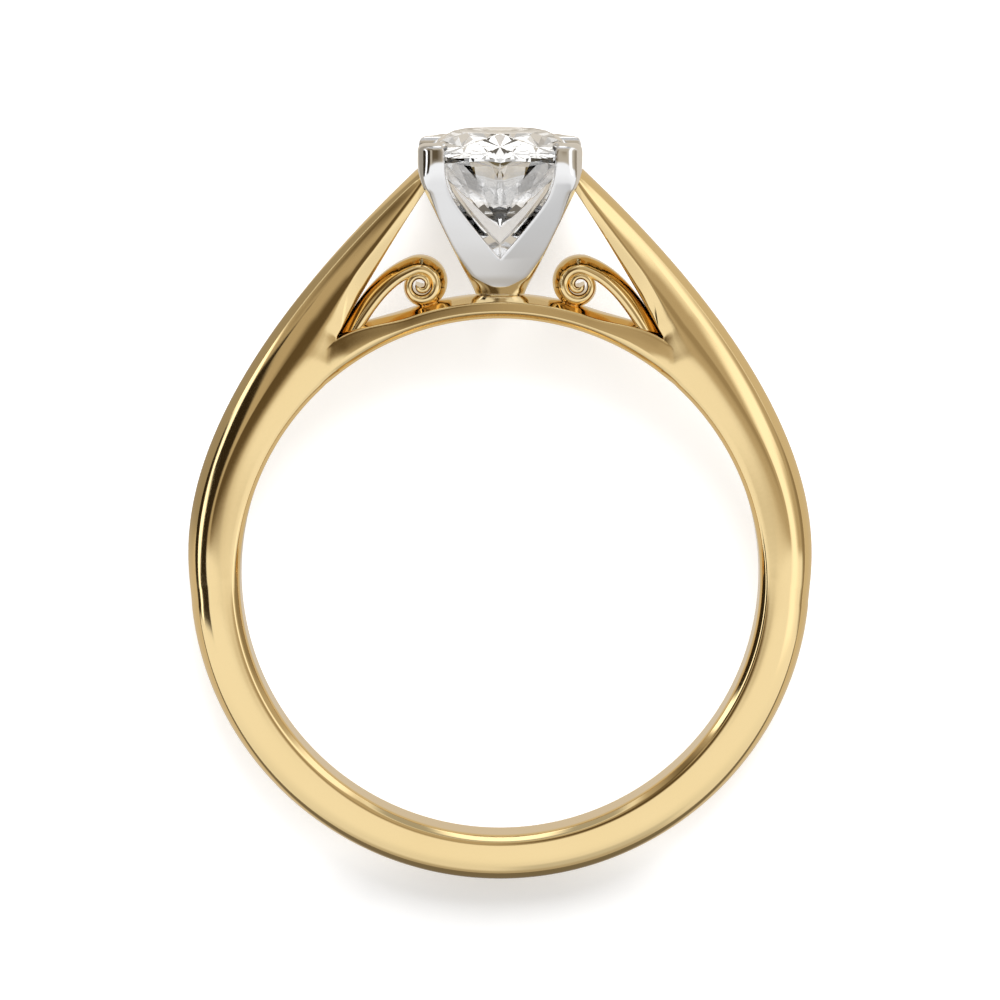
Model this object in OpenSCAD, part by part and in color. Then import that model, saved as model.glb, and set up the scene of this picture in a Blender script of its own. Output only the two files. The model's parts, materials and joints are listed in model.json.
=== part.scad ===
// Cathedral ring with scrolls, a four-prong head and an oval stone, in millimetres.
// The ring lies on its side. The origin is the centre of the finger hole, X runs across the ring,
// Y points to the stone and Z is up, along the finger. The last step leans the ring back on its stone.

/* [Finger hole] */
// Diameter of the finger hole
finger_d = 16.5; // [15:0.1:20]
// Rounding of the two edges of the finger hole
comfort_r = 0.22; // [0.1:0.01:0.3]

/* [Hoop] */
// Width of the hoop along the finger
band_w = 2; // [1.7:0.1:2.6]
// Thickness of the hoop opposite the stone
band_t = 1.5; // [1.2:0.05:1.8]
// Thickness of the hoop at its two sides, where the shoulders start
side_t = 1.6; // [1.4:0.05:2]

/* [Shoulders] */
// How far the top of a shoulder tip lies below the stone's girdle
tip_drop = 0.4; // [0.3:0.05:0.5]
// Height of the end face of a shoulder tip
tip_h = 0.65; // [0.5:0.05:0.8]
// Width of a shoulder tip along the finger
tip_w = 1.7; // [1.2:0.1:1.9]
// Height of the flat bevel along the top of a shoulder
bevel_h = 0.45; // [0.2:0.05:0.6]
// Depth of that bevel along the finger
bevel_w = 0.3; // [0.1:0.05:0.45]
// Width of the bevel under a shoulder, where it is widest
under_w = 0.5; // [0.2:0.05:0.6]
// Where the notch between a shoulder and the bridge ends, as an angle from the stone's direction
notch_angle = 33.9; // [32:0.1:36]

/* [Bridge] */
// Thickness of the bridge at its front and back edges
bridge_edge_t = 0.52; // [0.45:0.01:0.7]
// Height of the bridge's crown over its edges
bridge_crown = 0.23; // [0.1:0.01:0.3]
// Width of the bridge along the finger
bridge_w = 1.9; // [1.4:0.1:2.2]

/* [Scrolls] */
// Outer radius of the curl at the end of a scroll
curl_r = 0.67; // [0.6:0.01:0.7]
// Turns in a curl
curl_turns = 1.75; // [1.25:0.25:2]
// Thickness of the scroll strip where it leaves the notch
strip_t = 0.34; // [0.26:0.01:0.4]
// Thickness of the scroll strip in the curl
curl_t = 0.23; // [0.2:0.01:0.26]
// Width of the scroll strip along the finger
strip_w = 1.6; // [1.2:0.1:1.8]
// How far the strip's outer side bulges
strip_dome = 0.26; // [0.1:0.01:0.3]
// Distance of a curl's centre from the middle of the ring
curl_x = 2.5; // [2.3:0.01:2.7]

/* [Stone] */
// Length of the oval stone, along the finger
stone_l = 7; // [6.6:0.1:7.4]
// Width of the oval stone, across the ring
stone_w = 5; // [4.9:0.05:5.1]
// Height of the girdle's lower edge above the finger hole
girdle_rise = 5.1; // [4.9:0.05:5.4]
// Thickness of the girdle
girdle_t = 0.14; // [0.08:0.01:0.2]
// Height of the crown, from girdle to table
crown_h = 0.67; // [0.55:0.01:0.8]
// Depth of the pavilion, from girdle to culet
pavilion_h = 2.28; // [2.1:0.01:2.35]
// Width of the table as a share of the stone's width
table_share = 0.58; // [0.54:0.01:0.62]

/* [Head] */
// Outer width of the head across the ring
head_w = 5.16; // [5.1:0.02:5.3]
// Outer length of the head along the finger
head_l = 5.2; // [5:0.02:5.4]
// Width of the head's foot across the ring
foot_w = 1.56; // [1.3:0.02:1.8]
// Length of the head's foot along the finger
foot_l = 1.1; // [0.9:0.02:1.4]
// Size of a prong across, at the girdle
prong_w = 0.84; // [0.75:0.01:0.95]
// Height of the prongs above the girdle's lower edge
prong_rise = 0.5; // [0.4:0.01:0.6]
// How far below the girdle's lower edge the prongs start to lean inwards
prong_bend = 0.5; // [0.4:0.01:0.6]
// Distance from the girdle down to the point of the front and back V
deep_v = 3.15; // [3:0.01:3.2]
// Distance from the girdle down to the point of the side V
side_v = 1.35; // [1.2:0.01:1.5]

/* [Fits] */
// Gap between the stone and the metal round it
stone_gap = 0.02; // [0.01:0.01:0.04]
// Solder gap between the head and the shank
solder_gap = 0.03; // [0.02:0.01:0.06]

/* [Hidden] */
$fn = 96;

// Radii from the finger's axis
hole_r = finger_d / 2;
bottom_r = hole_r + band_t;
side_r = hole_r + side_t;
bridge_edge_r = hole_r + bridge_edge_t;
bridge_top_r = bridge_edge_r + bridge_crown;
// How far blanks reach past a face that trims them
spare = 0.35;
// Height of the notch's bottom over the bridge's crown
notch_rise = 0.24;

// Heights in the ring, measured from the finger's axis towards the stone
girdle_y = hole_r + girdle_rise;
table_y = girdle_y + girdle_t + crown_h;
foot_y = bridge_top_r;
bend_y = girdle_y - prong_bend;
prong_top_y = girdle_y + prong_rise;
tip_y = girdle_y - tip_drop;

// The lean that lets the ring rest on the stone's end and on the hoop's edge
rest_lean = atan((stone_l / 2 - band_w / 2) / (girdle_y + bottom_r - bevel_h));

// Point on a cubic curve with end points a and d and handles b and c
function cubic(a, b, c, d, t) =
    pow(1 - t, 3) * a + 3 * pow(1 - t, 2) * t * b + 3 * (1 - t) * t * t * c + pow(t, 3) * d;
function mix(a, b, t) = a + (b - a) * t;
// Smooth step from 0 to 1
function ease(t) = t <= 0 ? 0 : t >= 1 ? 1 : t * t * (3 - 2 * t);
// Point at an angle from the stone's direction
function polar(r, a) = [r * sin(a), r * cos(a)];

// Closed skin over rings of points, with flat caps
module skin(rings) {
    n = len(rings[0]);
    last = len(rings) - 1;
    polyhedron(
        points = [for (ring = rings) each ring],
        faces = concat(
            [[for (i = [n - 1 : -1 : 0]) i]],
            [for (k = [0 : last - 1], i = [0 : n - 1])
                let (a = k * n + i, b = k * n + (i + 1) % n) each [[a, b, b + n], [a, b + n, a + n]]],
            [[for (i = [0 : n - 1]) last * n + i]]
        ),
        convexity = 10
    );
}

// Shank: hoop with shoulders, bridge and scrolls, cast in one

// The end face of a shoulder tip runs beside the head, whose side leans in below the bend
head_side_slope = (head_w - foot_w) / 2 / (bend_y - foot_y);
function beside_head(y) = [head_w / 2 + solder_gap - max(0, bend_y - y) * head_side_slope, y];
tip_top = beside_head(tip_y);
tip_low = beside_head(tip_y - tip_h);

// The right shoulder's outer line runs nearly straight from its tip, then bends round into the hoop.
// The two handles give its direction at the tip and at its end
shoulder_end = 95.5;
side_end = polar(side_r, shoulder_end);
tip_handle = [8.76, -8.27];
side_handle = [0, 1.2];
function outer_line(t) = cubic(tip_top, tip_top + tip_handle, side_end + side_handle, side_end, t);

// Its underside runs to the notch, then turns down through the bridge and under the finger hole's wall
notch = polar(bridge_top_r + notch_rise, notch_angle);
sink_angle = notch_angle + 3;
sink_end = polar(hole_r - spare, sink_angle);
under_tip_handle = [0.9, -1.35];
under_notch_handle = [-0.68, 1.2];
// Shares of the way at which the underside passes the notch and the finger hole's wall
notch_share = 0.35;
sink_share = 0.41;
function inner_line(t) = t < notch_share
    ? cubic(tip_low, tip_low + under_tip_handle, notch + under_notch_handle, notch, t / notch_share)
    : t < sink_share
    ? mix(notch, sink_end, (t - notch_share) / (sink_share - notch_share))
    : polar(hole_r - spare, mix(sink_angle, shoulder_end, (t - sink_share) / (1 - sink_share)));
// The shoulder is as wide as the bridge a little past the notch
wide_share = 0.45;
function shoulder_w(t) = t < wide_share
    ? mix(tip_w, bridge_w, ease(t / wide_share))
    : mix(bridge_w, band_w, ease((t - wide_share) / wide_share));

// Half of a section, from the crown to the inside. Columns: depth and width with the bevel, as
// shares of its own size, then depth and width of the plain round section
// [depth in bevels, narrowing in bevels, round depth share, round width share]
half_rows = [
    [0.00, 1.00, 0.00, 0.00],
    [0.02, 1.00, 0.03, 0.34],
    [0.35, 0.66, 0.12, 0.62],
    [1.00, 0.00, 0.34, 0.88],
    [1.60, 0.00, 0.62, 0.98],
];

// Share of a section's depth that its round side may take
round_depth = 0.8;
// In a thin section the rows crowd together: the first stays within this share of the depth, and each
// further one within one step more
thin_first = 0.12;
thin_step = 0.1;
// Smallest lower corner of a section, and the smallest distance between its rows
corner_h = 0.12;
corner_w = 0.06;
row_gap = 0.05;
// Share of the lower bevel's height that it takes off the width
under_slope = 0.6;

// Section of the shank between an outer and an inner point. half_w is half its width, plain is 0
// where the section is bevelled and 1 where it is round, and under is the lower bevel
function section(outer, inner, half_w, plain, under) =
    let (
        deep = norm(inner - outer),
        dir = (inner - outer) / deep,
        crown_deep = min(deep, band_t) * round_depth,
        side = [for (i = [0 : len(half_rows) - 1])
            let (
                row = half_rows[i],
                bevelled = [min(row[0] * bevel_h, deep * (thin_first + thin_step * i)),
                    i == 0 ? 0 : half_w - row[1] * bevel_w],
                round_one = [row[2] * crown_deep, row[3] * half_w]
            ) mix(bevelled, round_one, plain)],
        low = [
            [max(side[4][0] + row_gap, deep - max(under, corner_h)), half_w],
            [deep, half_w - under_slope * under - corner_w],
        ],
        half = concat(side, low)
    )
    [for (side = [-1, 1], i = [0 : len(half) - 1])
        let (p = half[side < 0 ? i : len(half) - 1 - i])
        if (side < 0 || p[1] > 0) [outer[0] + dir[0] * p[0], outer[1] + dir[1] * p[0], side * p[1]]];

shoulder_steps = 26;
hoop_steps = 26;

// Width of the lower bevel, widest a little before the notch and gone at the notch
under_fade = 0.06;
function under_bevel(t) = let (full = notch_share - under_fade)
    under_w * ease(t / full) * (1 - ease((t - full) / under_fade));

// The section turns round from here to the hoop's bottom, and is half way at the shoulder's end
round_share = 0.7;
half_round = 0.5;
// Keeps the steps along the outer line about even
outer_pace = 1.6;
function shoulder_ring(t) =
    section(outer_line(pow(t, outer_pace)), inner_line(t), shoulder_w(t) / 2,
        half_round * ease((t - round_share) / (1 - round_share)), under_bevel(t));

function hoop_ring(a) =
    let (s = (a - shoulder_end) / (180 - shoulder_end))
    section(polar(mix(side_r, bottom_r, ease(s)), a), polar(hole_r - spare, a),
        band_w / 2, mix(half_round, 1, ease(s * 2)), 0);

function mirrored(ring) = let (n = len(ring)) [for (i = [0 : n - 1]) [-ring[i][0], ring[i][1], ring[i][2]]];

module hoop_and_shoulders() {
    right = concat(
        [for (k = [0 : shoulder_steps]) shoulder_ring(k / shoulder_steps)],
        [for (k = [1 : hoop_steps]) hoop_ring(mix(shoulder_end, 180, k / hoop_steps))]
    );
    last = len(right) - 1;
    left = [for (k = [last - 1 : -1 : 0]) mirrored(right[k])];
    skin(concat(right, left));
}

// Bridge: a domed strip over the top of the finger hole. grow makes it larger on all sides
bridge_reach = 50;
module bridge(grow = 0) {
    half_w = bridge_w / 2 + grow;
    // The crown is an arc through the edges and the top
    rise = bridge_crown;
    crown_r = (half_w * half_w + rise * rise) / (2 * rise);
    rotate([0, 0, 90 - bridge_reach])
        rotate_extrude(angle = 2 * bridge_reach)
            intersection() {
                translate([hole_r - spare / 2, -half_w])
                    square([bridge_top_r - hole_r + spare + 2 * grow, 2 * half_w]);
                translate([bridge_top_r + grow - crown_r, 0])
                    circle(crown_r);
            }
}

// Scroll: a domed strip from the notch up and over into a curl that stands on the bridge

// How far the curl sinks into the bridge's crown
curl_sink = 0.04;
curl_y = sqrt(pow(bridge_top_r + curl_r - curl_sink, 2) - pow(curl_x, 2));
curl_path_r = curl_r - curl_t / 2;
// Radius and thickness at the strip's inner end, and how late the curl closes in on it
curl_in_r = 0.06;
curl_end_t = 0.13;
curl_delay = 1.45;
// Share of the curl over which the strip gets thin, and over which its bulge goes
thin_share = 0.7;
flat_share = 0.5;
flat_dome = 0.1;
// Where the strip runs into the curl, as an angle round the curl's centre
curl_start = 68;
strip_start = polar(bridge_top_r - 0.15, notch_angle - 1.3);
strip_handle = [-0.8, 1.45];
curl_handle = 0.75;

// Centre line of the right scroll: t from 0 to 1 is the rise, from 1 to 2 the curl
function curl_angle(u) = curl_start + u * curl_turns * 360;
function curl_radius(u) = mix(curl_path_r, curl_in_r, pow(u, curl_delay));
function scroll_point(t) = t < 1
    ? cubic(strip_start, strip_start + strip_handle,
        scroll_point(1) + curl_handle * [sin(curl_start), -cos(curl_start)], scroll_point(1), t)
    : let (a = curl_angle(t - 1), r = curl_radius(t - 1)) [curl_x + r * cos(a), curl_y + r * sin(a)];
heading_step = 0.004;
function scroll_heading(t) =
    let (d = scroll_point(t + heading_step) - scroll_point(t - heading_step)) d / norm(d);
function scroll_t(t) = t < 1 ? mix(strip_t, curl_t, t) : mix(curl_t, curl_end_t, ease((t - 1) / thin_share));
function scroll_dome(t) = strip_dome * (t < 1 ? 1 : mix(1, flat_dome, min(1, (t - 1) / flat_share)));

// Section of the strip, outer side first. Columns: share of half the width, share of the dome
strip_rows = [[-1, 0], [-0.62, 0.62], [0, 1], [0.62, 0.62], [1, 0]];
function scroll_ring(t) =
    let (
        p = scroll_point(t),
        h = scroll_heading(t),
        out = [h[1], -h[0]],
        half_t = scroll_t(t) / 2,
        dome = scroll_dome(t)
    )
    concat(
        [for (row = strip_rows) let (o = half_t + dome * row[1])
            [p[0] + out[0] * o, p[1] + out[1] * o, row[0] * strip_w / 2]],
        [for (side = [1, -1]) [p[0] - out[0] * half_t, p[1] - out[1] * half_t, side * strip_w / 2]]
    );

rise_steps = 12;
curl_steps = 44;
module scroll() {
    skin(concat(
        [for (k = [0 : rise_steps - 1]) scroll_ring(k / rise_steps)],
        [for (k = [0 : curl_steps]) scroll_ring(1 + k / curl_steps)]
    ));
}

module finger_bore() {
    straight = band_w / 2 - comfort_r;
    translate([0, 0, -band_w])
        cylinder(h = 2 * band_w, r = hole_r);
    for (side = [0, 1])
        mirror([0, 0, side])
            rotate_extrude()
                difference() {
                    translate([hole_r - comfort_r, straight])
                        square([2 * comfort_r, 2 * comfort_r]);
                    translate([hole_r + comfort_r, straight])
                        circle(comfort_r);
                }
}

module shank() {
    color("goldenrod")
        rotate([rest_lean, 0, 0]) {
            difference() {
                hoop_and_shoulders();
                finger_bore();
            }
            difference() {
                bridge();
                finger_bore();
            }
            for (side = [0, 1])
                mirror([side, 0, 0])
                    scroll();
        }
}

// Head: a four-sided cup on an oval foot, cut by a V on each side so that four prongs stay

// Ring of points round an upright axis: a rectangle whose corners are rounded
corner_points = 5;
function rounded_ring(half_x, half_z, corner, y) =
    [for (turn = [[1, 1, 0], [-1, 1, 90], [-1, -1, 180], [1, -1, 270]], k = [0 : corner_points])
        let (a = turn[2] + 90 * k / corner_points)
        [turn[0] * (half_x - corner) + corner * cos(a), y, turn[1] * (half_z - corner) + corner * sin(a)]];
function foot_ring(y) =
    [for (turn = [0 : 3], k = [0 : corner_points])
        let (a = 90 * turn + 90 * k / corner_points)
        [foot_w / 2 * cos(a), y, foot_l / 2 * sin(a)]];

foot_corner = 0.28;
prong_corner = 0.34;
// Rounding of the prong tips, drawn in two steps
prong_round = 0.25;
round_steps = [[0.28, 0.3], [1, 0]];
// The foot turns from an oval to four flat sides over this height
foot_turn = 0.4;
module cup() {
    top = [head_w / 2, head_l / 2];
    share = foot_turn / (bend_y - foot_y);
    low = [mix(foot_w, head_w, share) / 2, mix(foot_l, head_l, share) / 2];
    skin([
        foot_ring(foot_y - bridge_crown),
        foot_ring(foot_y),
        rounded_ring(low[0], low[1], foot_corner, foot_y + foot_turn),
        rounded_ring(top[0], top[1], prong_corner, bend_y),
        rounded_ring(top[0], top[1], prong_corner, prong_top_y - prong_round),
        for (step = round_steps)
            rounded_ring(top[0] - step[0] * prong_round, top[1] - step[0] * prong_round, prong_corner,
                prong_top_y - step[1] * prong_round),
    ]);
}

// Hollow under the stone, down to a small floor
head_wall = 0.7;
hollow_corner = 0.4;
hollow_floor_y = girdle_y - deep_v + 0.18;
hollow_floor = [0.25, 0.22];
floor_corner = 0.1;
module hollow() {
    wide = [head_w / 2 - head_wall, head_l / 2 - head_wall];
    skin([
        rounded_ring(hollow_floor[0], hollow_floor[1], floor_corner, hollow_floor_y),
        rounded_ring(wide[0], wide[1], hollow_corner, bend_y),
        rounded_ring(wide[0], wide[1], hollow_corner, prong_top_y + spare),
    ]);
}

// V cut through two opposite sides. drop is how far its point lies below the girdle at the outer face,
// half_gap half the opening between the prongs and face how far out the outer face lies at the point.
// The sides of the V bend up to the prongs, and its floor rises and its sides close in inwards
v_climb = 0.43;
v_close = 0.12;
// Where the sides bend: share of the half gap, and share of the way up to the girdle
v_elbow = [0.88, 0.66];
module v_cut(drop, half_gap, reach, face) {
    point_y = girdle_y - drop;
    skin([for (z = [reach, 0, -reach])
        let (
            floor_y = point_y + v_climb * (face - abs(z)),
            gap = half_gap - v_close * (1 - abs(z) / reach),
            elbow_y = mix(floor_y, girdle_y, v_elbow[1])
        )
        [
            [0, floor_y, z],
            [gap * v_elbow[0], elbow_y, z],
            [gap, bend_y, z],
            [gap, prong_top_y + spare, z],
            [-gap, prong_top_y + spare, z],
            [-gap, bend_y, z],
            [-gap * v_elbow[0], elbow_y, z],
        ]]);
}

// How far out a leaning face of the cup lies at a height
function face_at(foot, top, y) = mix(foot, top, (y - foot_y) / (bend_y - foot_y)) / 2;

module head() {
    color("gainsboro")
        rotate([rest_lean, 0, 0])
            difference() {
                cup();
                hollow();
                v_cut(deep_v, head_w / 2 - prong_w, head_l / 2 + spare,
                    face_at(foot_l, head_l, girdle_y - deep_v));
                rotate([0, 90, 0])
                    v_cut(side_v, head_l / 2 - prong_w, head_w / 2 + spare,
                        face_at(foot_w, head_w, girdle_y - side_v));
                brilliant(stone_gap);
                bridge(solder_gap);
            }
}

// Stone: an oval brilliant. Its facets are those of a round one, drawn out along the finger

star_share = 0.79;
lower_share = 0.26;
// Point on a facet ring: share of the oval, angle from the finger's direction and height
function oval_point(share, a, y, grow) =
    [(stone_w / 2 + grow) * share * sin(a), y, (stone_l / 2 + grow) * share * cos(a)];

module brilliant(grow = 0) {
    // A main facet is flat, so the corners beside it follow from its slope
    main = cos(22.5);
    star_y = crown_h * (1 - star_share * main) / (1 - table_share);
    lower_y = pavilion_h * (1 - lower_share * main);
    top_y = girdle_y + girdle_t;
    rows = [
        [for (k = [0 : 7]) oval_point(table_share, 45 * k, table_y + grow, grow)],
        [for (k = [0 : 7]) oval_point(star_share, 45 * k + 22.5, top_y + star_y + grow, grow)],
        [for (j = [0 : 15]) oval_point(1, 22.5 * j, top_y + grow, grow)],
        [for (j = [0 : 15]) oval_point(1, 22.5 * j, girdle_y - grow, grow)],
        [for (k = [0 : 7]) oval_point(lower_share, 45 * k + 22.5, girdle_y - lower_y - grow, grow)],
        [[0, girdle_y - pavilion_h - grow, 0]],
    ];
    function table_i(k) = k % 8;
    function star_i(k) = 8 + (k + 8) % 8;
    function upper_i(j) = 16 + (j + 16) % 16;
    function under_i(j) = 32 + (j + 16) % 16;
    function lower_i(k) = 48 + (k + 8) % 8;
    polyhedron(
        points = [for (row = rows) each row],
        faces = concat(
            [[for (k = [7 : -1 : 0]) k]],
            [for (k = [0 : 7]) [table_i(k), table_i(k + 1), star_i(k)]],
            [for (k = [0 : 7]) [table_i(k), star_i(k), upper_i(2 * k), star_i(k - 1)]],
            [for (k = [0 : 7]) each [
                [star_i(k), upper_i(2 * k + 1), upper_i(2 * k)],
                [star_i(k), upper_i(2 * k + 2), upper_i(2 * k + 1)],
            ]],
            [for (j = [0 : 15]) [upper_i(j), upper_i(j + 1), under_i(j + 1), under_i(j)]],
            [for (k = [0 : 7]) each [
                [lower_i(k), under_i(2 * k), under_i(2 * k + 1)],
                [lower_i(k), under_i(2 * k + 1), under_i(2 * k + 2)],
            ]],
            [for (k = [0 : 7]) [56, lower_i(k - 1), under_i(2 * k), lower_i(k)]]
        ),
        convexity = 2
    );
}

module stone() {
    color("aliceblue")
        rotate([rest_lean, 0, 0])
            brilliant();
}

shank();
head();
stone();
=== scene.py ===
# Cathedral ring: yellow gold shank, white gold head and an oval brilliant, lying on a pale studio floor.
# Shapes are worked out in millimetres in the ring's own frame: x across, y to the stone, z along the finger.
import json
import math

import bmesh
import bpy
from mathutils import Matrix, Vector


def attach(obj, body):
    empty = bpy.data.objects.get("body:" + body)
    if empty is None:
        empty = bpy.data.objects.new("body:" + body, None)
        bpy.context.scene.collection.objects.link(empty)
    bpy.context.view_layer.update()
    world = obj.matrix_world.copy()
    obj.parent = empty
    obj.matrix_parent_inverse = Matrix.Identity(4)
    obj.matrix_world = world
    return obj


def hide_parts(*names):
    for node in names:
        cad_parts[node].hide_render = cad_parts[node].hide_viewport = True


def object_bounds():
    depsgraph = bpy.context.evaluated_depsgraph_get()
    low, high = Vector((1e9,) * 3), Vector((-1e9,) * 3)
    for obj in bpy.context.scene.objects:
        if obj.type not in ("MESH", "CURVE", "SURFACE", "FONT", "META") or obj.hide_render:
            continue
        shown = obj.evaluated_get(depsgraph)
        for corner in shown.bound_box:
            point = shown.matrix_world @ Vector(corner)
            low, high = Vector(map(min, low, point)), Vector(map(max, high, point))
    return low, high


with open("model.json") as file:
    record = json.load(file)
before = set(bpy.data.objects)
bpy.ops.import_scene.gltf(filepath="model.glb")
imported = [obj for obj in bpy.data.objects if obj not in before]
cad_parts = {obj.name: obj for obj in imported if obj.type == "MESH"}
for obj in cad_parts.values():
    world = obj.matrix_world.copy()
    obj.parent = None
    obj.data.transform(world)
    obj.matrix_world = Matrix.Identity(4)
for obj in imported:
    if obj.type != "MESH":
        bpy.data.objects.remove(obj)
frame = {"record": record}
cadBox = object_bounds()
fingerHole = frame["record"]["mounts"][0]
holeR = fingerHole["dims"]["r_mm"]
lean = math.atan2(-fingerHole["axis"][1], fingerHole["axis"][2])  # the ring leans back on its stone
toRow = Matrix.Rotation(lean, 4, "X") @ Matrix.Scale(0.001, 4)
print("frame loaded, hole radius", holeR, "mm, lean", round(math.degrees(lean), 2), "degrees")


def mix(a, b, t):
    return a + (b - a) * t


def ease(t):
    t = min(1.0, max(0.0, t))
    return t * t * (3 - 2 * t)


def polar(r, degrees):  # point at an angle from the stone's direction
    a = math.radians(degrees)
    return Vector((r * math.sin(a), r * math.cos(a)))


def cubic(a, b, c, d, t):
    s = 1 - t
    return s ** 3 * a + 3 * s * s * t * b + 3 * s * t * t * c + t ** 3 * d


def softCorners(corners, cuts, spanSteps=3, cornerSteps=5):
    # a path through the corners, each rounded over its cut distance
    corners = [Vector(c) for c in corners]
    path = []
    start = corners[0]
    for i in range(1, len(corners)):
        here = corners[i]
        if i == len(corners) - 1:
            leave = enter = here
        else:
            back = corners[i - 1] - here
            ahead = corners[i + 1] - here
            cutBack = min(cuts[i - 1], back.length * 0.47)
            cutAhead = min(cuts[i - 1], ahead.length * 0.47)
            enter = here + back.normalized() * cutBack
            leave = here + ahead.normalized() * cutAhead
        path += [start.lerp(enter, ease(k / spanSteps)) for k in range(spanSteps)]
        if i < len(corners) - 1:
            for k in range(cornerSteps):
                t = k / cornerSteps
                path.append((1 - t) ** 2 * enter + 2 * t * (1 - t) * here + t * t * leave)
        start = leave
    path.append(corners[-1])
    return path


def skinRings(verts, faces, rings):
    # closed tube over rings of points, with a fan at each end
    first = len(verts)
    n = len(rings[0])
    for ring in rings:
        verts += [Vector(p) for p in ring]
    for k in range(len(rings) - 1):
        for i in range(n):
            a = first + k * n + i
            b = first + k * n + (i + 1) % n
            faces.append((a, b, b + n, a + n))
    for k, order in ((0, -1), (len(rings) - 1, 1)):
        ends = [first + k * n + i for i in range(n)]
        middle = len(verts)
        verts.append(sum((verts[i] for i in ends), Vector((0, 0, 0))) / n)
        for i in range(n):
            pair = (ends[i], ends[(i + 1) % n])
            faces.append((middle,) + pair[::order])


def makePiece(name, verts, faces, sharpDegrees):
    mesh = bpy.data.meshes.new(name)
    mesh.from_pydata([toRow @ v for v in verts], [], faces)
    bm = bmesh.new()
    bm.from_mesh(mesh)
    bmesh.ops.recalc_face_normals(bm, faces=bm.faces)
    bm.to_mesh(mesh)
    bm.free()
    mesh.shade_smooth()
    mesh.set_sharp_from_angle(angle=math.radians(sharpDegrees))
    piece = bpy.data.objects.new(name, mesh)
    bpy.context.scene.collection.objects.link(piece)
    return piece


# Stone and setting sizes that the shoulders and the prongs share
setting = {
    "girdleY": holeR + 5.1,
    "girdleT": 0.14,
    "crownH": 0.67,
    "pavilionH": 2.28,
    "stoneW": 5.0,
    "stoneL": 7.0,
    "headW": 5.16,
    "headL": 5.2,
    "footW": 1.56,
    "footL": 1.1,
    "prongBend": 0.5,
    "prongRise": 0.5,
    "solderGap": 0.03,
}
bendY = setting["girdleY"] - setting["prongBend"]
prongTopY = setting["girdleY"] + setting["prongRise"]

# Shank
shank = {
    "bandW": 2.0,
    "bandT": 1.5,
    "sideT": 1.6,
    "comfort": 0.22,  # rounding along the finger hole
    "tipDrop": 0.4,
    "tipH": 0.65,
    "tipW": 1.7,
    "bevelH": 0.72,
    "bulge": 0.04,
    "underW": 0.5,
    "underFade": 0.12,
    "bridgeEdgeT": 0.52,
    "bridgeCrown": 0.23,
    "bridgeSwell": 0.4,
    "bridgeW": 1.9,
    "notchAngle": 33.9,
    "notchRise": 0.24,
    "notchShare": 0.35,
    "sinkShare": 0.41,
    "shoulderEnd": 95.5,
    "tipHandle": (8.76, -8.27),  # how the outer line leaves the tip and reaches the hoop's side
    "sideHandle": (0, 1.2),
    "underTipHandle": (0.9, -1.35),  # the same for the underside, from the tip to the notch
    "underNotchHandle": (-0.68, 1.2),
    "outerPace": 1.6,  # the rings stand closer on the outer line near the tip
    "wideShare": 0.45,
    "hiddenDepth": 0.02,
    "bevelShare": 0.42,
    "creaseDepth": 0.06,
    "domeShare": 0.8,
    "roundShare": 0.36,  # where the rounding along the finger hole starts
    "sharpRound": 0.05,
    "bridgeReach": 44,
    "bridgeEndFrom": 19,  # the bridge gets thicker from here on, in degrees from the stone
    "bridgeEndSpan": 15,
    "bridgeFlare": 0.02,  # how much wider the bridge gets on its way, from where and over how many degrees
    "bridgeFlareFrom": 8,
    "bridgeFlareSpan": 24,
    "bridgeSink": 0.06,
    "bridgeFade": (33, 11),  # where its faces sink into the shoulders, and over how many degrees
    "bridgeLift": 0.015,
    "shoulderRings": 150,
    "hoopRings": 80,
    "bridgeRings": 120,
}
bridgeEdgeR = holeR + shank["bridgeEdgeT"]
bridgeTopR = bridgeEdgeR + shank["bridgeCrown"]
sideR = holeR + shank["sideT"]
headSlope = (setting["headW"] - setting["footW"]) / 2 / (bendY - bridgeTopR)


def besideHead(y):
    return Vector((setting["headW"] / 2 + setting["solderGap"] - max(0, bendY - y) * headSlope, y))


tipTop = besideHead(setting["girdleY"] - shank["tipDrop"])
tipLow = besideHead(tipTop.y - shank["tipH"])
notch = polar(bridgeTopR + shank["notchRise"], shank["notchAngle"])
sinkAngle = shank["notchAngle"] + 3


def outerLine(t):
    end = polar(sideR, shank["shoulderEnd"])
    return cubic(tipTop, tipTop + Vector(shank["tipHandle"]), end + Vector(shank["sideHandle"]), end, t)


def innerLine(t):
    # along the underside to the notch, down through the bridge, then just under the finger hole's wall
    if t < shank["notchShare"]:
        return cubic(tipLow, tipLow + Vector(shank["underTipHandle"]),
                     notch + Vector(shank["underNotchHandle"]), notch, t / shank["notchShare"])
    hidden = holeR + shank["hiddenDepth"]
    if t < shank["sinkShare"]:
        return notch.lerp(polar(hidden, sinkAngle),
                          (t - shank["notchShare"]) / (shank["sinkShare"] - shank["notchShare"]))
    angle = mix(sinkAngle, shank["shoulderEnd"], (t - shank["sinkShare"]) / (1 - shank["sinkShare"]))
    return polar(mix(hidden, holeR, ease((angle - shank["bridgeReach"] + 3) / 2)), angle)


def shoulderW(t):
    share = shank["wideShare"]
    if t < share:
        return mix(shank["tipW"], shank["bridgeW"], ease(t / share))
    return mix(shank["bridgeW"], shank["bandW"], ease((t - share) / share))


def underBevel(t):
    full = shank["notchShare"] - shank["underFade"]
    return shank["underW"] * ease(t / full) * (1 - ease((t - full) / shank["underFade"]))


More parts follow.
